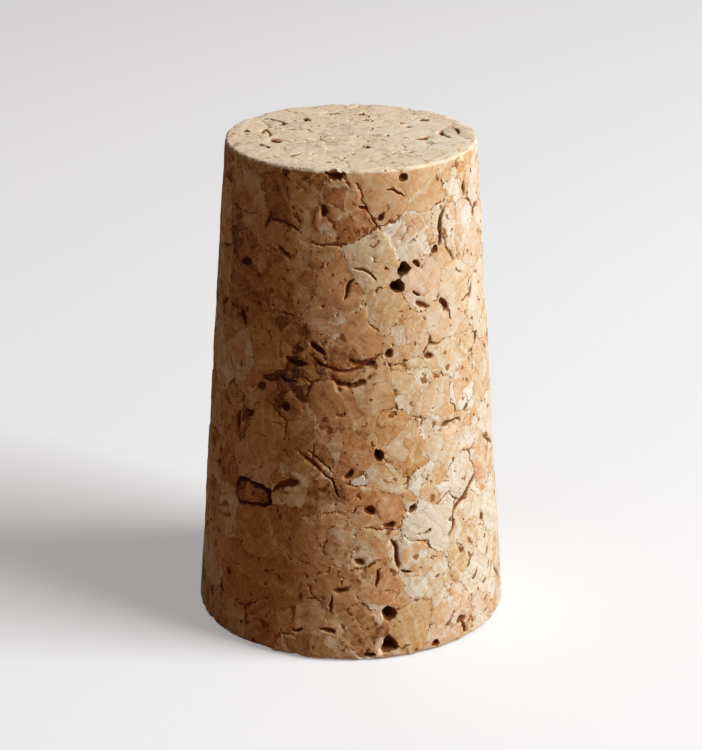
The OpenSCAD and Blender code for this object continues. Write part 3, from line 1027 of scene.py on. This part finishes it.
class CORK_OT_build_stopper(bpy.types.Operator):
    """Turn the blank, sort it into granules and cut its joints, pores and pits"""

    bl_idname = "cork.build_stopper"
    bl_label = "Build the stopper"

    def execute(self, context):
        scene = context.scene
        blank, granules, relief = scene.cork_blank, scene.cork_granules, scene.cork_relief
        values = labelled_values(blank, relief)
        values["Material"] = cork_material(scene.cork_colours, blank, relief)
        values["Packed solid"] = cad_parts[SOLID]
        turned = shaped_by(blank_tree(), bpy.data.meshes.new("start"), values)
        packing = Packing(blank, granules)
        middles = packing.middles()
        self.sort_points(turned, middles, packing)
        skin = thinned(shaped_by(skin_tree(), turned, values), blank.triangles)
        check_closed(skin)
        self.sort_faces(skin, middles, granule_tints(middles, packing, granules))
        skin.shade_smooth()
        skin.set_sharp_from_angle(angle=SHARP_FROM)
        piece = added(PIECE, skin)
        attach(piece, "root")
        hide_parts(SOLID)
        return {"FINISHED"}

    @staticmethod
    def sort_points(turned, middles, packing):
        """Gives each point its nearest granules, and how deep the marks go there."""
        write_nearest(turned, read(turned, "wandered"), middles, "POINT")
        crevices = [*starmap(Mark, CREVICES), *by_chance_elsewhere(packing.g.seed)]
        points = read(turned, "bent")
        for name, marks in (("crevice", crevices), ("torn", [*starmap(Mark, TORN)])):
            write(turned, name, mark_depths(points, packing, marks), "FLOAT", "POINT")

    @staticmethod
    def sort_faces(skin, middles, tints):
        """Gives each face its nearest granules and their tints."""
        corners = np.empty(len(skin.loops), np.int32)
        skin.loops.foreach_get("vertex_index", corners)
        centres = read(skin, "wandered")[corners].reshape(-1, 3, 3).mean(1)
        for name in ["outward", "bent", "wandered", "crevice", *GRANULE_NAMES]:
            skin.attributes.remove(skin.attributes[name])
        near = write_nearest(skin, centres, middles, "FACE")
        for k, name in enumerate(TINT_NAMES):
            write(skin, name, tints[near, k], "FLOAT_COLOR", "FACE")


def emptied(holder):
    """The node tree of a new material or world, with nothing in it."""
    holder.use_nodes = True
    holder.node_tree.nodes.clear()
    return holder.node_tree


def on_skin(tree, name, output="Fac"):
    """What the skin holds under a name."""
    return put(tree, "ShaderNodeAttribute", output=output, attribute_name=name)


def of_granule(grain, name):
    """What the skin holds under a name for the granule here."""
    held = on_skin(grain.here.tree, name, "Color")
    red = put(grain.here.tree, "ShaderNodeSeparateColor", (held,))
    return grain.pick([red, red.other("Green"), red.other("Blue"), held.other("Alpha")])


def blended(below, above, factor):
    """One colour over another, by a factor. Each is a value or a plain colour."""
    below, above = (c if isinstance(c, Value) else (*c, 1.0) for c in (below, above))
    inputs = {0: factor, 6: below, 7: above}
    return put(factor.tree, "ShaderNodeMix", inputs, output=2, data_type="RGBA")


def dye(colour, depth):
    """What a colour leaves of the light: all of it at depth 0, its own share at 1."""
    left = [put(depth.tree, "ShaderNodeMath", (c, depth), operation="POWER") for c in colour]
    return put(depth.tree, "ShaderNodeCombineXYZ", left)


# Cloudy patterns of the cork's colours and finest grain
FIBRES = Clouds(3.4)
BLOTCHES = Clouds(0.55, 3.0, 0.6)
DUST = Clouds(2.2, 3.0, levels=(0.25, 0.75, 0.5, 0.85))
LINE_WIDTH = Clouds(0.7, levels=(0.35, 0.75, 0.015, 0.1))
LINE_DARK = Clouds(0.4, 1.0, levels=(0.4, 0.6, 0.05, 0.34))
DULLNESS = Clouds(2.4, levels=(0.2, 0.8, 0.72, 0.95))
PITTED = Clouds(5.5, 3.0, 0.65)
# Growth bands across a granule, and how far they shift from the darkest to the palest
BANDS, BAND_SHIFT = {"Scale": 1.7, "Detail": 3.0}, 50
# The dark line between two bands, and which of the granules have it
RING_LINE, RINGED_LUCK = (0.03, 0.0), (0.4, 0.6)
# Where on the scale of paleness each of the colours is
STOPS = {"bark": 0.0, "ruddy": 0.17, "ochre": 0.38, "tan": 0.6, "pale": 0.82, "cream": 1.0}
# Flecks to a millimetre
PALE_FLECKS, BARK_FLECKS = 0.8, 1.3
# How much the flecks show and how vivid the tints are, by how pale the cork is
FLECKS_SHOWN, VIVID = (0.3, 0.8, 0.0, 0.3), (1.0, 0.3, 0.4, 1.0)
# How ruddy cork has to be for each tint, and how much that differs between slivers
RED_FROM, GREEN_FROM, SLIVER_RUDDY = (0.45, 0.9), (0.5, 0.1), 0.25


class Paleness:
    """Where the paleness starts from, and how much each pattern changes it."""

    MIDDLE, GRANULE, SLIVER, BAND, FIBRE = 0.52, 0.84, 0.42, 0.45, 0.55
    BLOTCH, MORE_BLOTCH_IF_BROKEN = 0.3, 0.35


class Darkness:
    """How dark each thing is, from 0 to 1."""

    GAPE, STREAK, PORE, RING, BARK, HOLLOW = 0.8, 0.7, 0.8, 0.12, 0.6, 0.9


class Depth:
    """Depths in millimetres at which a look starts and is whole."""

    # The pit depths also set the painted shade in pits and crevices
    SAWN, HOLLOW, BOTTOM = (0.5, 0.3), (0.03, 0.25), (0.6, 1.5)
    TORN, TORN_SHOWN = (0.0, 0.24), (0.6, 0.2)


def cork_colour(shade, colours):
    """The colour of cork as pale as the shade says."""
    ramp = put(shade.tree, "ShaderNodeValToRGB", (shade,))
    elements = ramp.socket.node.color_ramp.elements
    while len(elements) < len(STOPS):
        elements.new(0.5)
    for element, (name, position) in zip(elements, STOPS.items()):
        element.position = position
        element.color = (*getattr(colours, name), 1.0)
    return ramp


def cork_material(colours, blank, relief):
    """Cork granules: each has its own tone, lie, bands and pores."""
    material = bpy.data.materials.new("cork_granules")
    tree = emptied(material)
    place = put(tree, "ShaderNodeTexCoord", output="Object") / MM
    middles = [on_skin(tree, name, "Vector") for name in GRANULE_NAMES]
    grain = Grain(wandered(place), middles, relief.crumbled)
    here = grain.here

    # How pale each granule and sliver is
    pale, ruddy, whole = (of_granule(grain, name) for name in TINT_NAMES)
    broken = 1 - whole
    sliver = (grain.sliver_luck.parts()[0] - 0.5) * grain.crumbled * broken * Paleness.SLIVER
    along = BANDS | {"W": grain.run + pale * BAND_SHIFT}
    bands = put(tree, "ShaderNodeTexNoise", along, noise_dimensions="1D")
    rings = (bands - 0.5).math("ABSOLUTE").between(*RING_LINE)
    rings = rings * grain.luck.parts()[2].between(*RINGED_LUCK)
    fibre = noise(grain.drawn(FIBRE_DRAWN), FIBRES)
    spread = (pale - 0.5) * Paleness.GRANULE + Paleness.MIDDLE
    blotch = noise(here, BLOTCHES) - 0.5
    blotch = blotch * (broken * Paleness.MORE_BLOTCH_IF_BROKEN + Paleness.BLOTCH)
    streaked = spread + sliver + (bands - 0.5) * Paleness.BAND
    shade = streaked + (fibre - 0.5) * Paleness.FIBRE + blotch
    skin = cork_colour(shade, colours)

    # Flecks of the palest cork
    flecked = grain.flecks(PALE_FLECKS, 1) * shade.between(*FLECKS_SHOWN)
    skin = blended(skin, colours.cream, flecked)

    # Some are ruddier, some greener
    redder = ruddy + (grain.sliver_luck.parts()[1] - ruddy) * broken * SLIVER_RUDDY
    vivid = shade.between(*VIVID)
    skin = blended(skin, skin * colours.red_tint, redder.between(*RED_FROM) * vivid)
    skin = blended(skin, skin * colours.green_tint, redder.between(*GREEN_FROM) * vivid)

    # Sawn ends hold pale dust
    z = place.parts()[2]
    below_top = z * -1 + blank.length / MM
    on_end = most(below_top.between(*Depth.SAWN), z.between(*Depth.SAWN))
    skin = blended(skin, colours.sawn, on_end * graded(here, DUST))

    # Dark joints and pores, and pits and crevices darker the deeper they go: partly their own dark
    # lining, partly painted shade
    line_width = graded(here, LINE_WIDTH)
    line = grain.joint.between(line_width, line_width * 0.25)
    line = line * graded(here, LINE_DARK) * (broken * 0.8 + 0.2)
    shallow = most(
        line,
        grain.gape(relief.joint_width / MM) * Darkness.GAPE,
        grain.streak() * Darkness.STREAK,
        grain.pore() * Darkness.PORE,
        rings * Darkness.RING,
        grain.flecks(BARK_FLECKS, 0) * Darkness.BARK,
    )
    # Painted shade over a real dark lining: pits and crevices are darkened by their depth, down to
    # the pit colour at the bottom
    hollowed = on_skin(tree, "hollowed")
    hollow = hollowed.between(*Depth.HOLLOW) * Darkness.HOLLOW
    dark = most(shallow * (1 - on_end * 0.5), hollow)
    skin = (skin * dye(colours.joint, dark)).vector("MAXIMUM", colours.hollow)
    skin = blended(skin, colours.hollow, hollowed.between(*Depth.BOTTOM))
    # Pale torn cork, and at one place a painted highlight
    torn_and_highlight_share = on_skin(tree, "torn").between(*Depth.TORN) * hollowed.between(*Depth.TORN_SHOWN)
    skin = blended(skin, colours.torn, torn_and_highlight_share * 0.85)

    height = noise(here, PITTED) * 0.6 + fibre * 0.5 + bands * 0.3 - dark * 0.5
    bump = put(tree, "ShaderNodeBump", {"Strength": 0.7, "Distance": 0.05 * MM, "Height": height})
    looks = {
        "Base Color": skin,
        "Roughness": graded(here, DULLNESS),
        "Normal": bump,
        "Specular IOR Level": 0.04,
        "Sheen Weight": 0.15,
        "Sheen Roughness": 0.6,
        "Sheen Tint": (*colours.sawn, 1.0),
    }
    surface = put(tree, "ShaderNodeBsdfPrincipled", looks)
    put(tree, "ShaderNodeOutputMaterial", (surface,))
    arrange(tree)
    return material


# ---- The studio ----


class StudioSizes(bpy.types.PropertyGroup):
    """Where the camera and the lamps stand, and how strong the lamps are."""

    camera_back: length_prop("Level distance from axis to camera", 235 * MM)
    camera_up: length_prop("Height of the camera over the floor", 114.6 * MM)
    aim_up: length_prop("Height that the camera looks at", 24.6 * MM)
    lens: number_prop("Focal length in millimetres", 118.0, min=1.0)
    key_bearing: angle_prop("Way to the key lamp, right of the camera", 73.5)
    key_height: angle_prop("Angle of the key lamp over the floor", 36)
    key_away: length_prop("Distance of the key lamp", 0.8)
    key_size: length_prop("Side of the key lamp", 0.45)
    key_power: number_prop("Power of the key lamp in watts", 8.5, min=0.0)
    fill_bearing: angle_prop("Way to the fill lamp, right of camera", -25)
    fill_height: angle_prop("Angle of the fill lamp over the floor", 30)
    fill_away: length_prop("Distance of the fill lamp", 0.9)
    fill_size: length_prop("Side of the fill lamp", 0.7)
    fill_power: number_prop("Power of the fill lamp in watts", 0.12, min=0.0)
    ambient: number_prop("Strength of the light from all round", 0.126, min=0.0)
    ambient_colour: colour_prop("Colour of that light", (255, 226, 200))
    floor_radius: length_prop("Radius of the floor", 3.0)
    floor_colour: colour_prop("Colour of the floor", (216, 218, 221))
    floor_bounce: colour_prop("Light that the floor gives back", (146, 104, 70))
    floor_glow: share_prop("White that the camera sees on the floor", 0.29)


def toward(bearing, height, away):
    """A point so far away at a bearing from the camera's side and a height angle."""
    level = away * math.cos(height)
    up = away * math.sin(height)
    return Vector((level * math.sin(bearing), -level * math.cos(bearing), up))


def shown(tree):
    """1 for light that the camera sees, also by a mirror or through glass. Otherwise 0."""
    path = put(tree, "ShaderNodeLightPath", output="Is Camera Ray")
    return most(path, path.other("Is Glossy Ray"), path.other("Is Transmission Ray"))


def floor_material(s):
    """A pale floor that keeps its shadows and gives back only a little warm light."""
    material = bpy.data.materials.new("pale_floor")
    tree = emptied(material)
    seen = shown(tree)
    colour = blended(s.floor_bounce, s.floor_colour, seen)
    paper = put(tree, "ShaderNodeBsdfDiffuse", (colour,))
    glow = put(tree, "ShaderNodeEmission", ((1, 1, 1, 1), seen * s.floor_glow))
    put(tree, "ShaderNodeOutputMaterial", (put(tree, "ShaderNodeAddShader", (paper, glow)),))
    arrange(tree)
    return material


def lay_floor(s):
    mesh = bpy.data.meshes.new("floor")
    shape = bmesh.new()
    bmesh.ops.create_circle(shape, cap_ends=True, radius=s.floor_radius, segments=128)
    shape.to_mesh(mesh)
    shape.free()
    mesh.materials.append(floor_material(s))
    floor = added("floor", mesh)


def stand(name, data, place, aim):
    """A lamp or camera at a place, facing what it is aimed at."""
    thing = added(name, data)
    thing.location = place
    thing.rotation_euler = (aim - place).to_track_quat("-Z", "Y").to_euler()
    return thing


def add_lamp(s, name, aim):
    """A square lamp, by the sizes whose names start with its own."""
    bearing, height, away, size, power = (
        getattr(s, f"{name}_{what}") for what in ("bearing", "height", "away", "size", "power")
    )
    light = bpy.data.lights.new(name, "AREA")
    light.shape = "SQUARE"
    light.size = size
    light.energy = power
    stand(name, light, toward(bearing, height, away), aim)


def surroundings(s):
    """Even light from all round. What is seen of it, or mirrored, is white."""
    world = bpy.data.worlds.new("surroundings")
    tree = emptied(world)
    seen = shown(tree)
    strength = seen * (1.0 - s.ambient) + s.ambient
    colour = blended(s.ambient_colour, (1, 1, 1), seen)
    light = put(tree, "ShaderNodeBackground", (colour, strength))
    put(tree, "ShaderNodeOutputWorld", (light,))
    arrange(tree)
    return world


def add_camera(s, aim):
    data = bpy.data.cameras.new("camera")
    data.lens = s.lens
    data.clip_start = 0.01
    return stand("camera", data, Vector((0, -s.camera_back, s.camera_up)), aim)


class CORK_OT_build_stage(bpy.types.Operator):
    """Lay the floor, set the lamps and the camera, and light the surroundings"""

    bl_idname = "cork.build_stage"
    bl_label = "Build the stage"

    def execute(self, context):
        scene = context.scene
        s = scene.cork_studio
        aim = Vector((0, 0, s.aim_up))
        lay_floor(s)
        for name in ("key", "fill"):
            add_lamp(s, name, aim)
        scene.world = surroundings(s)
        scene.camera = add_camera(s, aim)
        scene.view_settings.view_transform = "Standard"
        return {"FINISHED"}


class CORK_PT_panel(bpy.types.Panel):
    """The stopper's operators, in the sidebar"""

    bl_label = "Cork stopper"
    bl_idname = "CORK_PT_panel"
    bl_space_type = "VIEW_3D"
    bl_region_type = "UI"
    bl_category = "Cork"

    def draw(self, context):
        for operator in OPERATORS:
            self.layout.operator(operator.bl_idname)


OPERATORS = (CORK_OT_build_stopper, CORK_OT_build_stage)
GROUPS = {
    "cork_blank": BlankSizes,
    "cork_granules": GranuleSizes,
    "cork_relief": ReliefSizes,
    "cork_colours": CorkColours,
    "cork_studio": StudioSizes,
}


def register():
    for group in GROUPS.values():
        for identifier, prop in group.__annotations__.items():
            prop.keywords["name"] = label(identifier)
        bpy.utils.register_class(group)
    for name, group in GROUPS.items():
        setattr(bpy.types.Scene, name, bpy.props.PointerProperty(type=group))
    for kind in (*OPERATORS, CORK_PT_panel):
        bpy.utils.register_class(kind)


def unregister():
    for kind in (CORK_PT_panel, *reversed(OPERATORS)):
        bpy.utils.unregister_class(kind)
    for name, group in reversed(GROUPS.items()):
        delattr(bpy.types.Scene, name)
        bpy.utils.unregister_class(group)


def main():
    register()
    bpy.ops.cork.build_stopper()
    bpy.ops.cork.build_stage()


if __name__ == "__main__":
    main()
